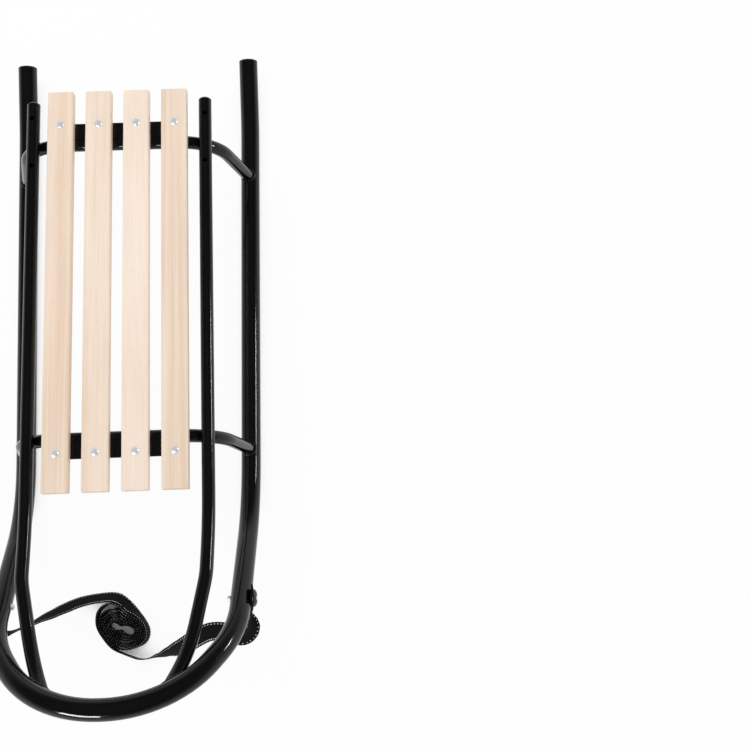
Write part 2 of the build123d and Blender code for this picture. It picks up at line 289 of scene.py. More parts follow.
def sew_strap(name, stations, thickness=webbing_thickness):
    """A strap piece: the ribbon and its stitches in one mesh, webbing first, thread second."""
    frames = frames_along(stations)
    verts, faces, uvs = ribbon_parts(frames, thickness)
    webbing_faces = len(faces)
    more_verts, more_faces, more_uvs = stitch_parts(frames, thickness)
    faces += [tuple(len(verts) + i for i in face) for face in more_faces]
    verts += more_verts
    uvs += more_uvs
    mesh = bpy.data.meshes.new(name)
    mesh.from_pydata(verts, [], faces)
    layer = mesh.uv_layers.new(name="strap_metres")
    layer.data.foreach_set("uv", [x for face in uvs for corner in face for x in corner])
    mesh.polygons.foreach_set("material_index",
                              [int(i >= webbing_faces) for i in range(len(faces))])
    mesh.polygons.foreach_set("use_smooth", [True] * len(faces))
    mesh.update()
    mesh.set_sharp_from_angle(angle=radians(crease_degrees))
    stitches = len(more_faces) // len(bead_faces)
    print(name, "is", whole_mm(frames[-1][4]), "mm long with", stitches, "stitches")
    return add_object(name, mesh)


print("edges of the strap stay sharp above", crease_degrees, "degrees")

# %% [markdown]
# How a strap twists is easiest to say at a few distances along it: towards which side its front
# edge points there. Both runs leave the anchor flat against the tube. The right one swings out
# into a round lobe: its front edge turns inwards and on to the back, so that the strap runs nearly
# flat under the bow, and only then stands up on its edge. The left one stands up at once and leans
# forwards as it comes down. Each row is a distance in millimetres and a direction.

# %% The two free runs
run_twists = {
    "right": [
        (0, (0, -0.8, 0.6)), (14, (-0.05, -0.74, 0.67)), (22, (-0.2, -0.64, 0.74)),
        (28, (-0.45, -0.52, 0.7)), (34, (-0.7, -0.3, 0.6)), (41, (-0.87, 0.08, 0.42)),
        (48, (-0.75, 0.55, 0.3)), (57, (-0.4, 0.88, 0.2)), (72, (0, 1, 0.1)),
        (117, (0, 0.98, 0.15)), (147, (0, 0.9, 0.43)), (167, (0, 0.75, 0.65)),
        (187, (0, 0.5, 0.86)), (207, (0, 0.25, 0.97)), (227, (0, 0, 1)),
    ],
    "left": [
        (0, (0, -0.8, 0.6)), (24, (0, -0.7, 0.72)), (40, (0, -0.2, 0.98)),
        (60, (0, -0.15, 0.99)), (85, (0, -0.3, 0.95)), (115, (0, -0.48, 0.87)),
        (140, (0.08, -0.56, 0.83)), (190, (0.12, -0.57, 0.81)), (212, (-0.14, -0.563, 0.814)),
    ],
}


def twist_at(table, distance):
    """The width direction of a run at a distance along it, in millimetres."""
    for (here, a), (there, b) in zip(table, table[1:]):
        if distance <= there:
            share = max(0.0, (distance - here) / (there - here))
            share = share * share * (3 - 2 * share)
            return Vector(a).lerp(Vector(b), share)
    return Vector(table[-1][1])


strap_runs = {}
for side, line in run_lines.items():
    stations = [(place, twist_at(run_twists[side], line_length(line[:i + 1]) / MM))
                for i, place in enumerate(line)]
    strap_runs[side] = sew_strap(f"strap_free_run_{side}", stations)

# %% [markdown]
# The middle metre of the strap is folded in half and rolled up from the fold, so the roll is a
# double spiral: both arms wind inwards side by side, and meet in a tight hairpin. Where the left
# run comes in, the strap leans over the roll; elsewhere it stands upright on its edge. A spiral of
# even pitch would look like a clock spring, so the radius of each layer is blended between two
# outlines seen in the photograph: the outside of the roll, and the bone-shaped hollow left at its
# middle. At the upper left the outermost layer stands off, so there all that lies behind it is
# drawn in a little, which leaves a thin gap. Each row is an angle in degrees and a length in
# millimetres.

# %% Outlines of the roll
roll_middle = (-24.6, -373.3)
roll_foot_height = 0.6
roll_layers = 7.0
strap_width = 25.0
slack_starts, slack_grows = 0.9, 0.6
roll_outside = [
    (-160, 28.8), (-135, 27.4), (-110, 29.6), (-93, 32.4), (-78, 34.0), (-52, 36.9), (-28, 42.0),
    (-5, 40.6), (18, 36.0), (42, 34.3), (62, 36.4), (80, 41.5), (100, 44.0), (120, 44.8),
    (140, 43.2), (165, 36.5),
]
roll_hollow = [
    (-160, 2.2), (-135, 1.2), (-104, 2.8), (-70, 4.6), (-50, 8.4), (-35, 15.2), (-20, 20.4),
    (-6, 19.6), (8, 14.0), (24, 6.8), (45, 2.2), (76, 0.0), (100, -0.4), (120, 2.0), (138, 7.6),
    (152, 11.4), (167, 11.6), (184, 5.8),
]
roll_lean = [
    (-144, 0.0), (-93, 0.0), (-45, 1.5), (-10, 3.0), (20, 4.5), (42, 7.5), (77, 14.5), (100, 6.0),
    (120, 0.0), (160, 0.0),
]
roll_loose = [
    (-170, 0.0), (-60, 0.0), (40, 0.0), (82, 0.0), (102, 3.0), (122, 4.2), (142, 3.0), (165, 0.0),
]


def outline_at(table, angle):
    """The value of a closed outline at any angle in degrees, on a smooth curve through its rows."""
    rows = [(a + turn, value) for turn in (-360, 0, 360) for a, value in table]
    angle = (angle + 180) % 360 - 180
    i = max(k for k, row in enumerate(rows) if row[0] <= angle)
    (a0, v0), (a1, v1), (a2, v2), (a3, v3) = rows[i - 1:i + 3]
    slope1 = (v2 - v0) / (a2 - a0)
    slope2 = (v3 - v1) / (a3 - a1)
    span = a2 - a1
    t = (angle - a1) / span
    return ((2 * t**3 - 3 * t**2 + 1) * v1 + (t**3 - 2 * t**2 + t) * span * slope1
            + (3 * t**2 - 2 * t**3) * v2 + (t**3 - t**2) * span * slope2)


def roll_station(angle, layer):
    """Where one layer of the roll stands at an angle: its middle, and its width's direction."""
    depth = layer / roll_layers
    slack = min(max((layer - slack_starts) / slack_grows, 0.0), 1.0)
    outside = outline_at(roll_outside, angle) - outline_at(roll_loose, angle) * slack
    foot = outside - (outside - outline_at(roll_hollow, angle)) * depth
    lean = outline_at(roll_lean, angle) * (1 - depth)
    rise = sqrt(strap_width**2 - lean**2)
    across = Vector((cos(radians(angle)), sin(radians(angle)), 0.0))
    low = Vector((*roll_middle, roll_foot_height)) + across * foot
    high = low - across * lean + Vector((0, 0, rise))
    return (low + high) / 2 * MM, (high - low).normalized()


print("outside of the roll towards the left run, in mm:", round(outline_at(roll_outside, 76), 1))

# %% [markdown]
# With that rule, one arm is only a list of angles. The left arm starts where the left run leans
# over the roll and winds clockwise for three and a half turns; the right arm starts on the other
# side, about half a turn behind, and both stop at the same angle. There a bent half circle joins
# them, so the whole roll is a single ribbon from one run to the other, as the real strap is.

# %% Wind the roll
left_arm_start, right_arm_start = 76.0, -93.0
fold_angle = left_arm_start - 180.0 * roll_layers
station_step = 6.0
fold_steps = 8
fold_bulge = 1.25


def arm(start):
    """The stations of one arm, from the outside of the roll to the fold."""
    turned = start - fold_angle
    steps = ceil(turned / station_step)
    return [roll_station(start - turned * i / steps, turned * i / steps / 180.0)
            for i in range(steps + 1)]


left_arm, right_arm = arm(left_arm_start), arm(right_arm_start)
inner_end, outer_end = left_arm[-1][0], right_arm[-1][0]
fold_middle = (inner_end + outer_end) / 2
fold_reach = (left_arm[-1][0] - left_arm[-2][0]).normalized() * (outer_end - inner_end).length / 2
hairpin = []
for step in range(1, fold_steps):
    turn = pi * step / fold_steps
    bend = fold_middle + (inner_end - fold_middle) * cos(turn) + fold_reach * sin(turn) * fold_bulge
    hairpin.append((bend, left_arm[-1][1]))
strap_roll = sew_strap("strap_rolled_middle", left_arm + hairpin + right_arm[::-1])

# %% [markdown]
# Each end of the strap is folded back on itself and pinned to the outer side of a bow leg by a
# bolt. It is thicker there than the free run that follows it. The left end is straight. The right
# one bends in under the tube below its cap, on its way into the lobe. Their places come from the
# CAD nodes that they stand for: the middle of the node's box, and the strap's direction down the
# tube. Distances below the bolt are in millimetres.

# %% The doubled ends at the anchors
strap_down = Vector((0.0, -0.6, -0.8))
strap_across = Vector((0.0, -0.8, 0.6))
doubled_thickness = 2.6 * MM
end_above_bolt, end_length, end_steps = 14.0, 34.0, 12
box_middle_below_bolt = 10.0
bend_below_bolt = 4.0
inward_bends = {"left": 0.0, "right": 0.019}


def cad_box(node):
    """The low and the high corner of a CAD node's box."""
    return [Vector(corner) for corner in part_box(node)]


strap_ends = {}
for side, inward_bend in inward_bends.items():
    low, high = cad_box(f"strap_tab_{side}")
    stations = []
    for i in range(end_steps + 1):
        below_bolt = end_length * i / end_steps - end_above_bolt
        inwards = inward_bend * max(below_bolt - bend_below_bolt, 0.0) ** 2
        shift = strap_down * (below_bolt - box_middle_below_bolt) - Vector((inwards, 0, 0))
        stations.append(((low + high) / 2 + shift * MM, strap_across))
    strap_ends[side] = sew_strap(f"strap_doubled_end_{side}", stations, doubled_thickness)

# %% [markdown]
# The bolts have a plain domed head. A sphere cut in half would give the dome, but not the short
# straight rim below it or the shank, so the head starts as a low cylinder: its upper face is drawn
# up and in by small steps, like a turner's cuts, and its lower face is inset and drawn down to
# make the shank. Small repeated steps in and out at the end of the shank are the thread.

# %% Turning steps
def take_face(piece, towards):
    """Selects only the face that lies furthest in a direction."""
    cage = bmesh.from_edit_mesh(piece.data)
    for face in cage.faces:
        face.select_set(False)
    far = max(cage.faces, key=lambda face: face.calc_center_median().dot(towards))
    far.select_set(True)
    bmesh.update_edit_mesh(piece.data)


def draw_out(distance, widen=1.0):
    """Draws the selected face out along Z and makes it wider or narrower."""
    bpy.ops.mesh.extrude_region_move(TRANSFORM_OT_translate={"value": (0, 0, distance)})
    bpy.ops.transform.resize(value=(widen, widen, 1))


def dome(rim_radius, rise, steps=7, flat_top=0.35):
    """Draws the selected round face up into a dome; part of a step stays flat at the top."""
    ball = (rim_radius**2 + rise**2) / (2 * rise)
    radius, height = rim_radius, 0.0
    for step in range(1, steps + 1):
        higher = rise * sin(pi / 2 * step / (steps + flat_top))
        wanted = sqrt(max(ball**2 - (ball - rise + higher)**2, 0.0))
        draw_out(higher - height, wanted / radius)
        radius, height = wanted, higher


def new_bar(name, sides, radius, length, middle):
    """A bar on the Z axis with its middle at a height: the start of every turned piece."""
    let_go()
    bpy.ops.mesh.primitive_cylinder_add(vertices=sides, radius=radius, depth=length,
                                        location=(0, 0, middle))
    bpy.context.object.name = name
    bpy.ops.object.transform_apply(location=True, rotation=True, scale=True)
    return bpy.context.object


print("helpers made: take_face, draw_out, dome, new_bar")

# %% The two kinds of bolt
def dome_bolt(name, head_radius, head_rise, shank_radius, shank_length, thread_length):
    """A dome-head bolt with its head's seat at Z 0 and its shank pointing down."""
    rim = 0.45 * MM
    thread_pitch, thread_root = 0.8 * MM, 0.88
    tip_length, tip_width = 0.3 * MM, 0.84
    bolt = new_bar(name, 40, head_radius, rim, rim / 2)
    bpy.ops.object.mode_set(mode="EDIT")
    take_face(bolt, Vector((0, 0, 1)))
    dome(head_radius, head_rise - rim)
    take_face(bolt, Vector((0, 0, -1)))
    bpy.ops.mesh.inset(thickness=head_radius - shank_radius, use_even_offset=False)
    take_face(bolt, Vector((0, 0, -1)))
    draw_out(-(shank_length - thread_length))
    thread_cuts = ((0.15, thread_root), (0.35, 1.0), (0.15, 1 / thread_root), (0.35, 1.0))
    for share, widen in thread_cuts * int(thread_length / thread_pitch):
        draw_out(-thread_pitch * share, widen)
    draw_out(-tip_length, tip_width)
    bpy.ops.object.mode_set(mode="OBJECT")
    bpy.ops.object.shade_smooth_by_angle(angle=radians(38))
    return bolt


slat_head_radius = 5.75 * MM
slat_bolt = dome_bolt("slat_bolt", slat_head_radius, head_rise=3.4 * MM, shank_radius=2.45 * MM,
                      shank_length=23.6 * MM, thread_length=8.0 * MM)
anchor_bolt = dome_bolt("anchor_bolt", 4.6 * MM, head_rise=2.3 * MM, shank_radius=2.95 * MM,
                        shank_length=37.0 * MM, thread_length=7.2 * MM)
print("faces in one slat bolt:", len(slat_bolt.data.polygons))

# %% [markdown]
# A hexagon nut is a six-sided bar with both faces turned to a cone, which leaves the curved
# chamfers on its corners. Bevelling the edges would give flat chamfers, so the hexagon is cut by a
# turned, lens-shaped blank with a boolean modifier, and its bore by a plain cylinder in the same
# way.

# %% Hexagon nuts
def cut_with(piece, cutter, how):
    """Applies a boolean with the cutter and removes the cutter."""
    let_go()
    piece.select_set(True)
    bpy.context.view_layer.objects.active = piece
    boolean = piece.modifiers.new("cut", "BOOLEAN")
    boolean.operation = how
    boolean.object = cutter
    boolean.solver = "EXACT"
    bpy.ops.object.modifier_apply(modifier="cut")
    bpy.data.objects.remove(cutter)


def hexagon_nut(name, across_flats, height, bore_radius):
    """A chamfered nut between Z -height and Z 0; its blank narrows to just inside the flats."""
    flat_radius = across_flats / 2
    corner_radius = flat_radius / cos(pi / 6)
    blank_radius = corner_radius * 1.05
    chamfer = 0.55 * (corner_radius - flat_radius) + 0.2 * MM
    nut = new_bar(name, 6, corner_radius, height, -height / 2)
    blank = new_bar("nut_blank", 48, blank_radius, height - 2 * chamfer, -height / 2)
    bpy.ops.object.mode_set(mode="EDIT")
    for towards in (1, -1):
        take_face(blank, Vector((0, 0, towards)))
        draw_out(towards * chamfer, flat_radius * 0.97 / blank_radius)
    bpy.ops.object.mode_set(mode="OBJECT")
    cut_with(nut, blank, "INTERSECT")
    cut_with(nut, new_bar("nut_drill", 32, bore_radius, height * 3, -height / 2), "DIFFERENCE")
    bpy.ops.object.shade_smooth_by_angle(angle=radians(25))
    return nut


slat_nut = hexagon_nut("slat_nut", 8.0 * MM, height=4.0 * MM, bore_radius=2.5 * MM)
anchor_nut = hexagon_nut("anchor_nut", 8.0 * MM, height=3.2 * MM, bore_radius=3.0 * MM)
print("faces in one slat nut:", len(slat_nut.data.polygons))

# %% [markdown]
# What repeats is modelled once and copied. Every copy gets its own mesh, and its place goes into
# the mesh, so that each object stays at the origin as the CAD nodes do. The eight slat bolts stand
# in two rows of four, one at each end of the slats, and the CAD boxes of the slats give their
# places.

# %% Set the slat bolts and nuts
def place_copy(model, name, where):
    """A copy of a model with its own mesh, moved by the matrix into its place."""
    piece = add_object(name, model.data.copy())
    piece.data.name = name
    piece.data.transform(where)
    piece.data.update()
    return piece


slat_boxes = [cad_box(f"slat_{n}") for n in range(1, 5)]
slat_middles = [(low.x + high.x) / 2 for low, high in slat_boxes]
slat_top = slat_boxes[0][1].z
bolts_low, bolts_high = cad_box("slat_bolts")
nuts_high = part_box("slat_nuts")[1][2]
bolt_rows = [bolts_low.y + slat_head_radius, bolts_high.y - slat_head_radius]
degrees_per_bolt = 37.0
slat_bolts, slat_nuts = [], []
for row in bolt_rows:
    for x in slat_middles:
        number = len(slat_bolts) + 1
        turn = Matrix.Rotation(radians(degrees_per_bolt * number), 4, "Z")
        seat = Matrix.Translation((x, row, slat_top)) @ turn
        slat_bolts.append(place_copy(slat_bolt, f"slat_bolt_{number}", seat))
        under = Matrix.Translation((x, row, nuts_high)) @ turn
        slat_nuts.append(place_copy(slat_nut, f"slat_nut_{number}", under))
print("slat bolts at y in mm:", [whole_mm(row) for row in bolt_rows])

# %% [markdown]
# At an anchor the bolt goes right across the bow leg. Outside it holds a broad black plastic cap
# with a rounded edge and a domed face, and inside sits a low nut. The cap is turned like the
# bolts: a thin disc whose upper face is drawn up and in by small steps, and then sunk again to a
# round recess that takes the bolt's head. Each piece is set out from the middle of the CAD washer.

# %% Caps, bolts and nuts of the anchors
def cap_washer(name, radius, rim, rise, recess_radius, recess_depth, steps=5):
    """A domed plastic washer with a rounded rim and a recess, its underside at Z 0."""
    washer = new_bar(name, 48, radius, rim * 0.7, rim * 0.35)
    bpy.ops.object.mode_set(mode="EDIT")
    take_face(washer, Vector((0, 0, 1)))
    edge, height = radius, 0.0
    for share, widen in ((0.2, 0.985), (0.1, 0.965)):
        draw_out(rim * share, widen)
        edge *= widen
    here = edge
    for step in range(1, steps + 1):
        wanted = edge + (recess_radius - edge) * step / steps
        inwards = (radius - wanted) / (radius - recess_radius)
        lift = rise * (1 - (1 - inwards) ** 2)
        draw_out(lift - height, wanted / here)
        here, height = wanted, lift
    bpy.ops.mesh.inset(thickness=recess_radius * 0.06, use_even_offset=False)
    bpy.ops.transform.translate(value=(0, 0, -recess_depth))
    bpy.ops.object.mode_set(mode="OBJECT")
    bpy.ops.object.shade_smooth_by_angle(angle=radians(40))
    return washer


anchor_washer = cap_washer("anchor_washer", 11.5 * MM, rim=1.8 * MM, rise=2.8 * MM,
                           recess_radius=5.6 * MM, recess_depth=2.0 * MM)
anchor_models = {"washer": (anchor_washer, "anchor_cap_washer", -0.8),
                 "bolt": (anchor_bolt, "anchor_dome_bolt", 2.0),
                 "nut": (anchor_nut, "anchor_hexagon_nut", -31.4)}
side_signs = {"left": -1, "right": 1}
anchor_pieces = {side: {} for side in side_signs}
for side, sign in side_signs.items():
    low, high = cad_box(f"anchor_washer_{side}")
    out = Vector((sign, 0, 0))
    turned = Matrix((strap_down, out.cross(strap_down), out)).transposed().to_4x4()
    for part, (model, name, outwards) in anchor_models.items():
        where = Matrix.Translation((low + high) / 2 + out * outwards * MM) @ turned
        anchor_pieces[side][part] = place_copy(model, f"{name}_{side}", where)
for model in (slat_bolt, anchor_bolt, slat_nut, anchor_nut, anchor_washer):
    bpy.data.objects.remove(model)
print("anchor pieces:", [piece.name for side in anchor_pieces.values() for piece in side.values()])

# %% [markdown]
# The tubes are welded, and the paint lies over the beads, so each joint shows a narrow rippled
# collar. A torus would sit right only on a flat plate. Here rays are sent down the joining tube's
# wall onto the other tube, and the places that they hit are the true line of the joint. A round
# bead drawn along that line, a little thicker at each ripple, is the weld.

# %% A bead, and the line of a joint
weld_ripple = 2.6 * MM
weld_lift = 0.2 * MM


def weld_bead(name, places, thickness, closed=True):
    """A bead along a line of places, with a slow second wave so that no two ripples are equal."""
    drawn = bpy.data.curves.new(name, "CURVE")
    drawn.dimensions = "3D"
    drawn.bevel_depth = thickness
    drawn.bevel_resolution = 3
    drawn.use_fill_caps = not closed
    spline = drawn.splines.new("POLY")
    spline.points.add(len(places) - 1)
    distance = 0.0
    for i, (point, place) in enumerate(zip(spline.points, places)):
        distance += (place - places[i - 1]).length if i else 0.0
        end = 1.0 if closed else min(1.0, 0.45 + 3 * min(i, len(places) - 1 - i) / len(places))
        point.co = (*place, 1.0)
        point.radius = end * (1.0 + 0.16 * sin(2 * pi * distance / weld_ripple)
                              + 0.12 * sin(2 * pi * distance / (weld_ripple * 3.7) + 1.3))
    spline.use_cyclic_u = closed
    mesh = mesh_of(drawn)
    mesh.name = name
    mesh.polygons.foreach_set("use_smooth", [True] * len(mesh.polygons))
    return add_object(name, mesh)


def joint_line(tube_radius, bend, end, share, count=72):
    """Where the wall of a tube that runs from its last bend to its end meets the runner."""
    start = end + (bend - end) * share
    direction = (end - bend).normalized()
    side = direction.orthogonal().normalized()
    other = direction.cross(side)
    line = []
    for i in range(count):
        turn = 2 * pi * i / count
        origin = start + (side * cos(turn) + other * sin(turn)) * tube_radius
        hit, place, normal, _ = frame["nodes"]["runner"].ray_cast(origin, direction)
        if hit:
            line.append(place + normal * weld_lift)
    return line


print("ripples in 100 mm of weld:", round(100 * MM / weld_ripple))

# %% Weld the arches to the soles
bpy.context.view_layer.update()
weld_beads = []
arch_rows = {"front": -123.55, "rear": 295.45}
sole_starts, sole_length = -204.55, 580.0
sole_aside, sole_spread, sole_height = 162.8, 7.7, 14.0
shoulder_aside, shoulder_height = 131.0, 162.5
for row, y in arch_rows.items():
    for side, sign in side_signs.items():
        share = (y - sole_starts) / sole_length
        foot = mm(sign * (sole_aside + share * sole_spread), y, sole_height)
        line = joint_line(9.3 * MM, mm(sign * shoulder_aside, y, shoulder_height), foot, 0.5)
        weld_beads.append(weld_bead(f"weld_arch_{row}_{side}", line, 2.1 * MM))
print("weld beads so far:", [(bead.name, len(bead.data.polygons)) for bead in weld_beads])

# %% [markdown]
# The rails end on the crown of the bow, and lie on the shoulders of the arches. The first joint is
# found with rays as before. At the second the two tubes only cross, so its bead is a small closed
# loop in the wedge between them: it rises where the rail curves away, and falls where the arch
# does. The strips under the slats are held by four short dabs along the outer side of each arch.

# %% Welds of the rails and the strips
arch_distance = arch_rows["rear"] - arch_rows["front"]
tube_width = 18.0
rail_aside, touch_height, touch_rise = 120.7, 158.64, 1.2
loop_radius, loop_points = 5.4, 48
for side, sign in side_signs.items():
    last_bend, landing = mm(sign * 99.3, -406.5, 201.4), mm(sign * 74.0, -455.6, 238.3)
    line = joint_line(9.2 * MM, last_bend, landing, 0.55)
    weld_beads.append(weld_bead(f"weld_rail_bow_{side}", line, 1.7 * MM))
    for row, y in arch_rows.items():
        touch = touch_height + (y - arch_rows["front"]) / arch_distance * touch_rise
        loop = []
        for i in range(loop_points):
            turn = 2 * pi * i / loop_points
            dx, dy = loop_radius * cos(turn), loop_radius * sin(turn)
            rise = (dx * dx - dy * dy) / (2 * tube_width)
            loop.append(mm(sign * rail_aside + dx, y + dy, touch + rise))
        weld_beads.append(weld_bead(f"weld_rail_{row}_{side}", loop, 1.1 * MM))
dab_reach, dab_aside, dab_height, dab_droop = 9, 6.3, 168.9, 0.15
for (row, y), outwards in zip(arch_rows.items(), (-1, 1)):
    for number, x in enumerate((-79.0, -26.0, 26.0, 79.0), start=1):
        dab = [mm(x - dab_reach + i, y + outwards * dab_aside,
                  dab_height - dab_droop * abs(i - dab_reach)) for i in range(2 * dab_reach + 1)]
        weld_beads.append(weld_bead(f"weld_strip_{row}_{number}", dab, 1.2 * MM, closed=False))
print("weld beads:", len(weld_beads))

# %% [markdown]
# All finishes are wired from the same few kinds of nodes. In the shader editor each is added and
# joined by hand. Here a helper for each kind does both in one line, which keeps the cells short.

# %% Helpers for nodes
def node_group(name, output, **inputs):
    """A shader node group with named number inputs and one number output."""
    group = bpy.data.node_groups.new(name, "ShaderNodeTree")
    for label, value in inputs.items():
        socket = group.interface.new_socket(name=label.replace("_", " "), in_out="INPUT",
                                            socket_type="NodeSocketFloat")
        socket.default_value = value
    group.interface.new_socket(name=output, in_out="OUTPUT", socket_type="NodeSocketFloat")
    given, result = group.nodes.new("NodeGroupInput"), group.nodes.new("NodeGroupOutput")
    return group, given.outputs, result.inputs


def feed(tree, socket, value):
    """Gives a socket a number, a colour or another node's output."""
    if isinstance(value, bpy.types.NodeSocket):
        tree.links.new(value, socket)
    else:
        socket.default_value = (*value, 1.0) if isinstance(value, tuple) else value


def object_place(tree):
    """The place on the piece, in metres."""
    return tree.nodes.new("ShaderNodeTexCoord").outputs["Object"]


def math_node(tree, operation, *values, clamp=False):
    """A Math node; each input is a number or another node's output."""
    node = tree.nodes.new("ShaderNodeMath")
    node.operation = operation
    node.use_clamp = clamp
    for socket, value in zip(node.inputs, values):
        feed(tree, socket, value)
    return node.outputs[0]


def noise_node(tree, vector, scale, detail=2.0, roughness=0.5):
    """A Noise Texture on a vector; the scale is a number or another node's output."""
    node = tree.nodes.new("ShaderNodeTexNoise")
    for socket, value in (("Vector", vector), ("Scale", scale), ("Detail", detail),
                          ("Roughness", roughness)):
        feed(tree, node.inputs[socket], value)
    return node.outputs["Fac"]


def ramp_node(tree, factor, stops):
    """A Color Ramp with (position, grey or colour) stops."""
    node = tree.nodes.new("ShaderNodeValToRGB")
    tree.links.new(factor, node.inputs["Fac"])
    ramp = node.color_ramp
    while len(ramp.elements) < len(stops):
        ramp.elements.new(0.5)
    for element, (position, colour) in zip(ramp.elements, stops):
        element.position = position
        element.color = (*(colour if isinstance(colour, tuple) else (colour,) * 3), 1.0)
    return node.outputs["Color"]


print("helpers made: node_group, feed, object_place, math_node, noise_node, ramp_node")

# %% [markdown]
# Two effects are wanted in more than one finish, so each is a shader node group with named inputs
# and outputs. "Handling marks" are the faint smears and fine scuffs that fingers and packing leave
# on anything smooth; they only change how rough the surface is. "Fine pebble" is a small even
# unevenness: the orange peel of powder coat, the grain of a moulded plastic, the nap of thread.

# %% Shared effects
handling_marks, given, result = node_group("handling marks", "Roughness", Smear_Size=14.0,
                                           Scuff_Size=260.0, Least=0.15, Most=0.25)
place = object_place(handling_marks)
smears = noise_node(handling_marks, place, given["Smear Size"], 3.0, 0.6)
scuffs = noise_node(handling_marks, place, given["Scuff Size"], 5.0, 0.7)
scuffs = math_node(handling_marks, "POWER", scuffs, 3.0)
mixed = math_node(handling_marks, "MULTIPLY_ADD", smears, 0.8, scuffs)
span = math_node(handling_marks, "SUBTRACT", given["Most"], given["Least"])
marked = math_node(handling_marks, "MULTIPLY_ADD", mixed, span, given["Least"])
feed(handling_marks, result["Roughness"], marked)

fine_pebble, given, result = node_group("fine pebble", "Height", Size=400.0, Waviness=0.4)
place = object_place(fine_pebble)
grains = noise_node(fine_pebble, place, given["Size"], 1.0, 0.4)
wide_size = math_node(fine_pebble, "MULTIPLY", given["Size"], 0.12)
waves = noise_node(fine_pebble, place, wide_size, 1.0, 0.4)
waved = math_node(fine_pebble, "MULTIPLY", waves, given["Waviness"])
feed(fine_pebble, result["Height"], math_node(fine_pebble, "ADD", grains, waved))
print("node groups:", [group.name for group in bpy.data.node_groups])

# %% [markdown]
# Every finish starts the same way: a new material with one Principled shader. What is equal all
# over the piece is set on the shader's own sockets, and only what changes over the surface is a
# node. The plain colour and roughness stay underneath, for viewers that can't read nodes.

# %% A material to start from
def new_finish(name, colour, roughness, **sockets):
    """A material with a Principled shader; returns the material, its node tree and the shader."""
    material = bpy.data.materials.new(name)
    material.use_nodes = True
    tree = material.node_tree
    shader = tree.nodes["Principled BSDF"]
    shader.inputs["Base Color"].default_value = (*colour, 1.0)
    shader.inputs["Roughness"].default_value = roughness
    for socket, value in sockets.items():
        shader.inputs[socket.replace("_", " ")].default_value = value
    material.diffuse_color = (*colour, 1.0)
    return material, tree, shader


def add_group(tree, group, values):
    """Places a node group in a material with its own values, and returns its output."""
    node = tree.nodes.new("ShaderNodeGroup")
    node.node_tree = group
    for socket, value in values.items():
        node.inputs[socket.replace("_", " ")].default_value = value
    return node.outputs[0]


def add_marks(tree, shader, **values):
    """Lets the handling marks change the roughness."""
    tree.links.new(add_group(tree, handling_marks, values), shader.inputs["Roughness"])


def add_bump(tree, shader, height, strength, distance):
    """Feeds a height to the shader's normal; the distance is in metres."""
    bump = tree.nodes.new("ShaderNodeBump")
    bump.inputs["Strength"].default_value = strength
    bump.inputs["Distance"].default_value = distance
    tree.links.new(height, bump.inputs["Height"])
    tree.links.new(bump.outputs["Normal"], shader.inputs["Normal"])


def add_pebble(tree, shader, strength, distance, **values):
    """Adds the fine pebble as a bump."""
    add_bump(tree, shader, add_group(tree, fine_pebble, values), strength, distance)


def mix_colour(tree, factor, first, second, blend="MIX"):
    """A colour mix; the factor and each colour are a value or another node's output."""
    node = tree.nodes.new("ShaderNodeMix")
    node.data_type = "RGBA"
    node.blend_type = blend
    for index, value in ((0, factor), (6, first), (7, second)):
        feed(tree, node.inputs[index], value)
    return node.outputs[2]


print("helpers for finishes are ready")

# %% [markdown]
# The frame is powder coated in deep gloss black. In the photograph the tubes are nearly black with
# soft dark-grey bands and thin white streaks, and the streaks waver a little: that is orange peel,
# a very shallow bump. The colour itself hardly changes, so most of the look is roughness and bump.

# %% Gloss black powder coat
frame_paint, tree, shader = new_finish("gloss_black_powder_coat", (0.003, 0.003, 0.004), 0.12,
                                       Specular_IOR_Level=0.3)
add_marks(tree, shader, Smear_Size=11.0, Scuff_Size=300.0, Least=0.07, Most=0.17)
add_pebble(tree, shader, 0.03, 0.00025, Size=420.0, Waviness=1.6)
dust = noise_node(tree, object_place(tree), 9.0, 4.0, 0.6)
tree.links.new(mix_colour(tree, dust, (0.002, 0.002, 0.0025), (0.004, 0.004, 0.005)),
               shader.inputs["Base Color"])
print("finish:", frame_paint.name)

# %% [markdown]
# The slats are planed pale wood under a thin clear coat: straight fine grain along the slat, a few
# broad soft bands, and short reddish flecks. Stretching a noise along the slat gives the grain.
# Each slat was cut from its own piece of wood, so the pattern is shifted by a random number that
# is worked out from the slat's place across the sled, which needs no separate materials. The third
# slat is the palest and the second comes next, so a pale tone is mixed in by the slat's number.

# %% Pale planed wood
slat_pitch = 0.0527
slat_wood, tree, shader = new_finish("pale_planed_wood", (0.86, 0.70, 0.56), 0.42,
                                     Coat_Weight=0.10, Coat_Roughness=0.40)
place = object_place(tree)
apart = tree.nodes.new("ShaderNodeSeparateXYZ")
tree.links.new(place, apart.inputs[0])
slat_number = math_node(tree, "FLOOR", math_node(tree, "DIVIDE", apart.outputs["X"], slat_pitch))
slat_chance = tree.nodes.new("ShaderNodeTexWhiteNoise")
slat_chance.noise_dimensions = "1D"
tree.links.new(math_node(tree, "ADD", slat_number, 11.3), slat_chance.inputs["W"])
shifted = tree.nodes.new("ShaderNodeVectorMath")
shifted.operation = "MULTIPLY_ADD"
tree.links.new(slat_chance.outputs["Color"], shifted.inputs[0])
shifted.inputs[1].default_value = (3.0, 3.0, 3.0)
tree.links.new(place, shifted.inputs[2])


def along_grain(across, lengthwise):
    """The slat's place, stretched along the grain."""
    stretch = tree.nodes.new("ShaderNodeMapping")
    stretch.inputs["Scale"].default_value = (across, lengthwise, across)
    tree.links.new(shifted.outputs[0], stretch.inputs["Vector"])
    return stretch.outputs["Vector"]


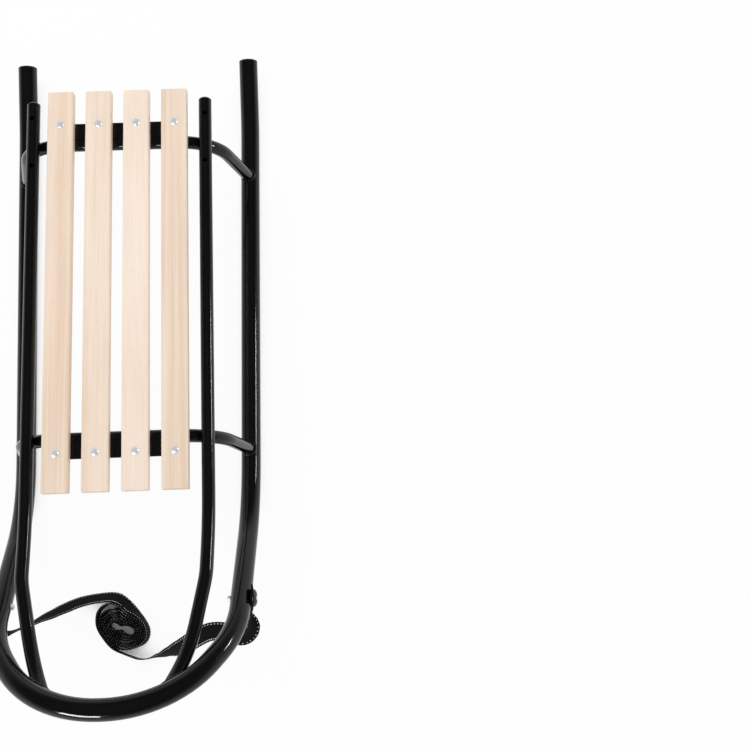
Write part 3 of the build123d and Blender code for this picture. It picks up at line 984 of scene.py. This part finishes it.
broad_bands = noise_node(tree, along_grain(95.0, 1.6), 1.0, 2.0, 0.5)
fine_lines = noise_node(tree, along_grain(900.0, 9.0), 1.0, 3.0, 0.6)
fleck_field = noise_node(tree, along_grain(1100.0, 130.0), 1.0, 1.0, 0.5)
slow_tone = noise_node(tree, along_grain(14.0, 4.0), 1.0, 2.0, 0.5)
wood_tone = ramp_node(tree, broad_bands, [
    (0.30, (0.85, 0.655, 0.500)), (0.48, (0.91, 0.735, 0.590)),
    (0.62, (0.94, 0.785, 0.650)), (0.75, (0.88, 0.690, 0.545)),
])
off_third = math_node(tree, "ABSOLUTE", math_node(tree, "ADD", slat_number, 0.2))
paleness = math_node(tree, "SUBTRACT", 1.1, off_third, clamp=True)
wood_tone = mix_colour(tree, paleness, wood_tone, (0.98, 0.835, 0.712))
lines = ramp_node(tree, fine_lines, [(0.36, 0.93), (0.55, 1.0)])
wood_tone = mix_colour(tree, 1.0, wood_tone, lines, "MULTIPLY")
slow = ramp_node(tree, slow_tone, [(0.35, (0.955, 0.935, 0.91)), (0.65, 1.0)])
wood_tone = mix_colour(tree, 1.0, wood_tone, slow, "MULTIPLY")
flecks = ramp_node(tree, fleck_field, [(0.66, 0.0), (0.74, 1.0)])
wood_tone = mix_colour(tree, math_node(tree, "MULTIPLY", flecks, 0.30), wood_tone,
                       (0.66, 0.40, 0.26))
tree.links.new(wood_tone, shader.inputs["Base Color"])
add_marks(tree, shader, Smear_Size=8.0, Scuff_Size=180.0, Least=0.36, Most=0.52)
add_bump(tree, shader, math_node(tree, "ADD", fine_lines, fleck_field), 0.25, 0.0001)
print("finish:", slat_wood.name)

# %% [markdown]
# Bolts and nuts are zinc plated: a pale cool metal, neither mirror nor matt. A fully metallic
# shader would show little but the dark ceiling above, and real plate looks paler than that, so the
# metal is set at less than half. Its brightness varies in small patches, so the roughness comes
# from the handling marks at a small size.

# %% Bright zinc plate
zinc, tree, shader = new_finish("bright_zinc_plate", (0.86, 0.88, 0.91), 0.34, Metallic=0.45)
add_marks(tree, shader, Smear_Size=90.0, Scuff_Size=600.0, Least=0.28, Most=0.42)
add_pebble(tree, shader, 0.06, 0.00006, Size=1400.0, Waviness=0.8)
print("finish:", zinc.name)

# %% [markdown]
# The plugs, the caps and the anchor washers are injection moulded, black and satin, with a fine
# grain. They are a shade greyer and much duller than the paint beside them, which tells them
# apart.

# %% Satin black plastic
black_plastic, tree, shader = new_finish("satin_black_plastic", (0.012, 0.012, 0.013), 0.42)
add_marks(tree, shader, Smear_Size=30.0, Scuff_Size=500.0, Least=0.34, Most=0.52)
add_pebble(tree, shader, 0.35, 0.00005, Size=1600.0, Waviness=0.3)
print("finish:", black_plastic.name)

# %% [markdown]
# The webbing is woven in a plain weave with ribs across its width, 1.6 mm apart, each split into
# short yarns that alternate from rib to rib. Its UV map is in metres, so two sine waves, one along
# the strap and one across it, shifted by half a yarn on every other rib, give the weave's height.
# The height also darkens the colour in the valleys as painted shade, and a little sheen stands for
# the loose fibres on top.

# %% Black webbing
rib_pitch, yarn_width = 0.0016, 0.0012
webbing, tree, shader = new_finish("black_ribbed_webbing", (0.004, 0.004, 0.005), 0.82,
                                   Specular_IOR_Level=0.10, Sheen_Weight=0.02,
                                   Sheen_Roughness=0.45)
strap_uv = tree.nodes.new("ShaderNodeUVMap")
strap_uv.uv_map = "strap_metres"
apart = tree.nodes.new("ShaderNodeSeparateXYZ")
tree.links.new(strap_uv.outputs["UV"], apart.inputs[0])
rib_turn = math_node(tree, "MULTIPLY", apart.outputs["X"], pi / rib_pitch)
rib = math_node(tree, "ABSOLUTE", math_node(tree, "SINE", rib_turn))
rib_number = math_node(tree, "FLOOR", math_node(tree, "DIVIDE", apart.outputs["X"], rib_pitch))
yarn_shift = math_node(tree, "MULTIPLY", math_node(tree, "MODULO", rib_number, 2.0), pi / 2)
yarn_turn = math_node(tree, "MULTIPLY_ADD", apart.outputs["Y"], pi / yarn_width, yarn_shift)
yarn = math_node(tree, "ABSOLUTE", math_node(tree, "SINE", yarn_turn))
weave_height = math_node(tree, "ADD", math_node(tree, "MULTIPLY", rib, 0.7),
                         math_node(tree, "MULTIPLY", yarn, 0.3))
fibres = noise_node(tree, object_place(tree), 900.0, 3.0, 0.6)
# painted shade: the colour is darker in the weave's valleys and lighter on the rib tops, with a
# random tone from the fibres
weave_shade_and_fibre_tone = math_node(tree, "MULTIPLY", weave_height, math_node(tree, "ADD", fibres, 0.5))
weave_shade_and_fibre_colour = ramp_node(tree, weave_shade_and_fibre_tone,
                         [(0.15, (0.001, 0.001, 0.0015)), (0.95, (0.006, 0.006, 0.008))])
tree.links.new(weave_shade_and_fibre_colour, shader.inputs["Base Color"])
add_bump(tree, shader, weave_height, 0.8, 0.0003)
print("finish:", webbing.name)

# %% [markdown]
# The thread of the edge stitches is plain white, greyed a little here and there by a slow noise.
# Up close it is twisted from fine plies, and the fine pebble at a very small size stands for them.

# %% White thread
thread, tree, shader = new_finish("white_thread", (0.9, 0.9, 0.92), 0.75)
add_pebble(tree, shader, 0.5, 0.0001, Size=2500.0, Waviness=0.5)
worn = ramp_node(tree, noise_node(tree, object_place(tree), 120.0, 3.0, 0.6),
                 [(0.35, 0.70), (0.6, 0.92)])
tree.links.new(worn, shader.inputs["Base Color"])
print("finish:", thread.name)

# %% [markdown]
# Now every piece gets its finish. A CAD node keeps its own shape and only takes a material; each
# new piece rides on the sled's single body, and where it stands for a CAD node, that node is
# hidden.

# %% Finish the CAD nodes
node_finish = {"frame_paint": frame_paint, "slat_wood": slat_wood, "zinc": zinc,
               "black_plastic": black_plastic, "webbing": webbing}


def wear(piece, *finishes):
    """Gives a piece its materials, in the order of its faces' material numbers."""
    for finish in finishes:
        piece.data.materials.append(finish)


for part in frame["record"]["subparts"]:
    node, finish = frame["nodes"][part["node"]], node_finish[part["material_slot"]]
    for holder in node.material_slots:
        holder.material = finish
    if not node.material_slots:
        wear(node, finish)

# %% Finish the new pieces and set them on the sled
def belongs(piece, slot, *stands_for):
    """The piece rides on the sled and hides the CAD nodes that it stands for; the slot is not used.
    """
    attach(piece, "root")
    if stands_for:
        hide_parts(*stands_for)


for bead in weld_beads:
    wear(bead, frame_paint)
    belongs(bead, "frame_paint")
for bolt in slat_bolts:
    wear(bolt, zinc)
    belongs(bolt, "zinc", "slat_bolts")
for nut in slat_nuts:
    wear(nut, zinc)
    belongs(nut, "zinc", "slat_nuts")
for side, pieces in anchor_pieces.items():
    for part, finish, slot in (("washer", black_plastic, "black_plastic"), ("bolt", zinc, "zinc"),
                               ("nut", zinc, "zinc")):
        wear(pieces[part], finish)
        belongs(pieces[part], slot, f"anchor_{part}_{side}")
    wear(strap_ends[side], webbing, thread)
    belongs(strap_ends[side], "webbing", f"strap_tab_{side}")
    wear(strap_runs[side], webbing, thread)
    belongs(strap_runs[side], "webbing", f"strap_run_{side}")
wear(strap_roll, webbing, thread)
belongs(strap_roll, "webbing", "strap_roll")
print("set on the sled:", len(weld_beads), "welds,", len(slat_bolts), "bolts and the strap")

# %% [markdown]
# Each free run leaves its doubled end at the anchor and goes into the roll, which is the put-away
# middle.

print("declared runs:", [strap_runs[side].name for side in run_lines])

# %% [markdown]
# The studio is a plain white floor that runs out of sight, a hair below the sled. For the camera,
# and for what gloss and metal mirror, most of its shading is replaced by plain white, so the
# ground reads as white paper without more light on the sled. Under and inside things the ambient
# occlusion takes that white away again, and leaves the floor's own soft shadow, such as in the
# hollow of the rolled strap.

# %% The floor
def mix_shaders(tree, factor, first, second):
    """A mix of two shaders' outputs by another node's output."""
    node = tree.nodes.new("ShaderNodeMixShader")
    for socket, value in zip(node.inputs, (factor, first, second)):
        tree.links.new(value, socket)
    return node.outputs[0]


floor_drop = 0.2 * MM
white_share = 0.93
let_go()
bpy.ops.mesh.primitive_grid_add(x_subdivisions=8, y_subdivisions=8, size=30.0, location=(0, 0, 0))
studio_floor = bpy.context.object
studio_floor.name = "studio_floor"
studio_floor.data.transform(Matrix.Translation((0, 0, -floor_drop)))
paper, tree, shader = new_finish("white_studio_paper", (0.95, 0.95, 0.95), 0.9,
                                 Specular_IOR_Level=0.1)
white = tree.nodes.new("ShaderNodeEmission")
white.inputs["Strength"].default_value = 1.0
white.inputs["Color"].default_value = (1.0, 1.0, 1.0, 1.0)
seen = tree.nodes.new("ShaderNodeLightPath").outputs
shown = math_node(tree, "MAXIMUM", seen["Is Camera Ray"], seen["Is Glossy Ray"])
shown = math_node(tree, "MAXIMUM", shown, seen["Is Transmission Ray"])
open_ground = tree.nodes.new("ShaderNodeAmbientOcclusion")
open_ground.samples = 6
open_ground.inputs["Distance"].default_value = 0.035
openness = ramp_node(tree, open_ground.outputs["AO"], [(0.22, 0.0), (0.45, 1.0)])
share = math_node(tree, "MULTIPLY", math_node(tree, "MULTIPLY", shown, white_share), openness)
tree.links.new(mix_shaders(tree, share, shader.outputs[0], white.outputs[0]),
               tree.nodes["Material Output"].inputs["Surface"])
studio_floor.data.materials.append(paper)
print("floor:", studio_floor.name)

# %% [markdown]
# The world gives the even base light. Rays from the camera and through clear things see it white;
# mirrored rays see white near the ground and a darker ceiling above, as in a real studio, which is
# what keeps the tops of the black tubes deep.

# %% The studio room
room = bpy.data.worlds.new("studio_room")
bpy.context.scene.world = room
room.use_nodes = True
tree = room.node_tree
ambient = tree.nodes["Background"]
plain_white = tree.nodes.new("ShaderNodeBackground")
mirrored = tree.nodes.new("ShaderNodeBackground")
for glow, strength in ((ambient, 0.89), (plain_white, 1.0)):
    glow.inputs["Color"].default_value = (1.0, 1.0, 1.0, 1.0)
    glow.inputs["Strength"].default_value = strength
apart = tree.nodes.new("ShaderNodeSeparateXYZ")
tree.links.new(tree.nodes.new("ShaderNodeTexCoord").outputs["Generated"], apart.inputs[0])
ceiling = ramp_node(tree, apart.outputs["Z"], [
    (0.0, 1.0), (0.15, 0.55), (0.4, 0.12), (0.7, 0.08), (0.95, 0.14),
])
tree.links.new(ceiling, mirrored.inputs["Color"])
seen = tree.nodes.new("ShaderNodeLightPath").outputs
clear = math_node(tree, "MAXIMUM", seen["Is Camera Ray"], seen["Is Transmission Ray"])
base = mix_shaders(tree, clear, ambient.outputs[0], plain_white.outputs[0])
tree.links.new(mix_shaders(tree, seen["Is Glossy Ray"], base, mirrored.outputs[0]),
               tree.nodes["World Output"].inputs["Surface"])
print("room light:", ambient.inputs["Strength"].default_value)

# %% [markdown]
# Three soft lamps do the rest. A broad one, high up behind the sled on its left, gives the soft
# shadow and some light on the colours. It isn't mirrored, or it would lie as a grey veil on the
# black tubes. Two long narrow ones do the opposite, one low on the right and one in front of the
# bow: they are hidden from diffuse rays and add no light to the wood, and their mirrored images
# are the white streaks along the rails and across the bow.

# %% Lamps
def soft_lamp(name, place, target, size, watts, lights_colours):
    """A rectangular lamp at a place, facing a target; it lights colours or is mirrored."""
    light = bpy.data.lights.new(name, "AREA")
    light.shape = "RECTANGLE"
    light.size, light.size_y = size
    light.energy = watts
    lamp = add_object(name, light)
    lamp.location = place
    lamp.rotation_euler = (Vector(target) - Vector(place)).to_track_quat("-Z", "Y").to_euler()
    lamp.visible_diffuse = lights_colours
    lamp.visible_glossy = not lights_colours


soft_lamp("rear_softbox", (-1.2, 1.5, 2.3), (0, 0, 0.1), (1.4, 1.4), 16.0, lights_colours=True)
soft_lamp("right_strip", (1.5, 0.25, 0.55), (0.1, 0.2, 0.1), (0.34, 0.06), 5.0,
          lights_colours=False)
soft_lamp("front_strip", (-0.7, -1.75, 0.9), (0, -0.4, 0.25), (0.9, 0.3), 36.0,
          lights_colours=False)
bpy.context.scene.view_settings.view_transform = "Standard"
